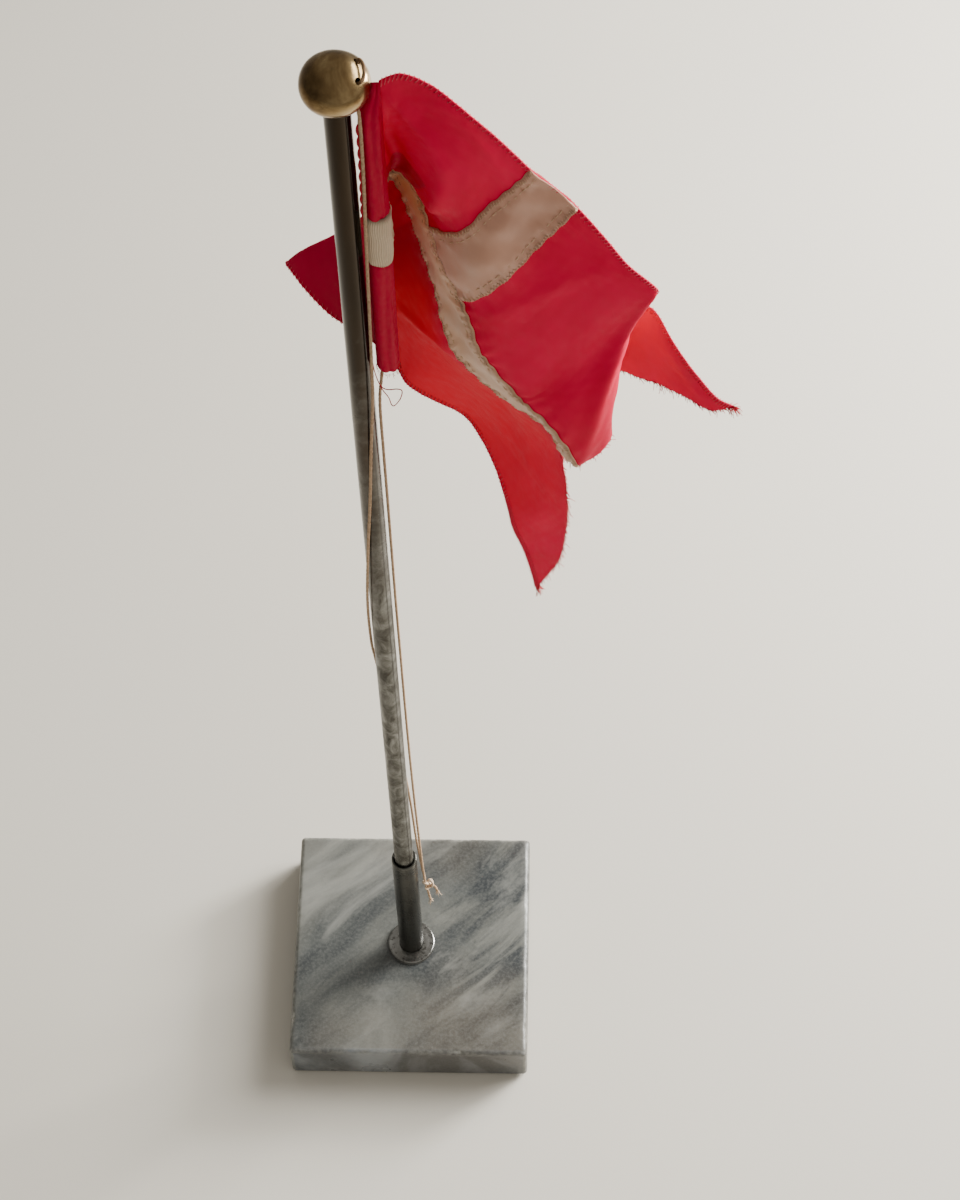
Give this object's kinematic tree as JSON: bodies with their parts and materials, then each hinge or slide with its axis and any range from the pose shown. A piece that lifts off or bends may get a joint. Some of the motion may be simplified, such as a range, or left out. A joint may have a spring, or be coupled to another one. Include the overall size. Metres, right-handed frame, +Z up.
{
  "type": "desk flag stand",
  "caption": "Table flagpole on a square marble base, with a ball finial, a cord halyard and a small swallow-tailed cloth flag.",
  "frame": {"origin": "centre of the underside of the felt pad", "axes": "+Z up along the pole, +X the side the flag flies to, -Y the front"},
  "size_m": [0.1288, 0.08, 0.4645],
  "materials": {
    "felt": "matt felt",
    "marble": "polished, veined grey, chipped arrises",
    "steel": "plain",
    "socket_steel": "darkened plating, bright rim",
    "flange_chrome": "polished",
    "pole_plating": "worn, tarnished plating",
    "plastic": "plain",
    "aged_brass": "aged, patinated",
    "cord": "twisted thread",
    "red_cloth": "thin satin weave, frayed cut edges",
    "ribbon": "aged satin ribbon, sewn along both edges"
  },
  "bodies": {
    "base": {"felt_pad": "felt", "marble_slab": "marble", "stud_washer": "steel", "stud_nut": "steel", "socket_stud": "steel", "socket_tube": "socket_steel", "socket_flange": "flange_chrome"},
    "pole_foot": {"pole_foot_plug": "plastic"},
    "pole": {"pole_tube": "pole_plating", "ball_finial": "aged_brass", "halyard_outer_strand": "cord", "halyard_inner_strand": "cord", "halyard_bight": "cord", "halyard_long_tail": "cord", "halyard_short_tail": "cord", "halyard_knot": "cord"},
    "flag": {"sleeve_upper": "red_cloth", "sleeve_band": "ribbon", "sleeve_lower": "red_cloth", "upper_hoist_field": "red_cloth", "vertical_ribbon_upper": "ribbon", "upper_fly_field": "red_cloth", "upper_fly_tail": "red_cloth", "horizontal_ribbon_hoist": "ribbon", "horizontal_ribbon_fly": "ribbon", "lower_hoist_field": "red_cloth", "vertical_ribbon_lower": "ribbon", "lower_fly_field": "red_cloth", "lower_fly_tail": "red_cloth"}
  },
  "joints": [
    {"name": "pole_lift", "type": "slide", "parent": "base", "child": "pole_foot", "axis": [0, 0, 1], "range_m": [0, 0.063]},
    {"name": "pole_turn", "type": "hinge", "parent": "pole_foot", "child": "pole", "pos_m": [0, 0, 0.026], "axis": [0, 0, 1], "continuous": true},
    {"name": "flag_swing", "type": "hinge", "parent": "pole", "child": "flag", "pos_m": [0.0068, 0, 0.4], "axis": [0, 0, 1], "range_deg": [-70, 15]}
  ]
}
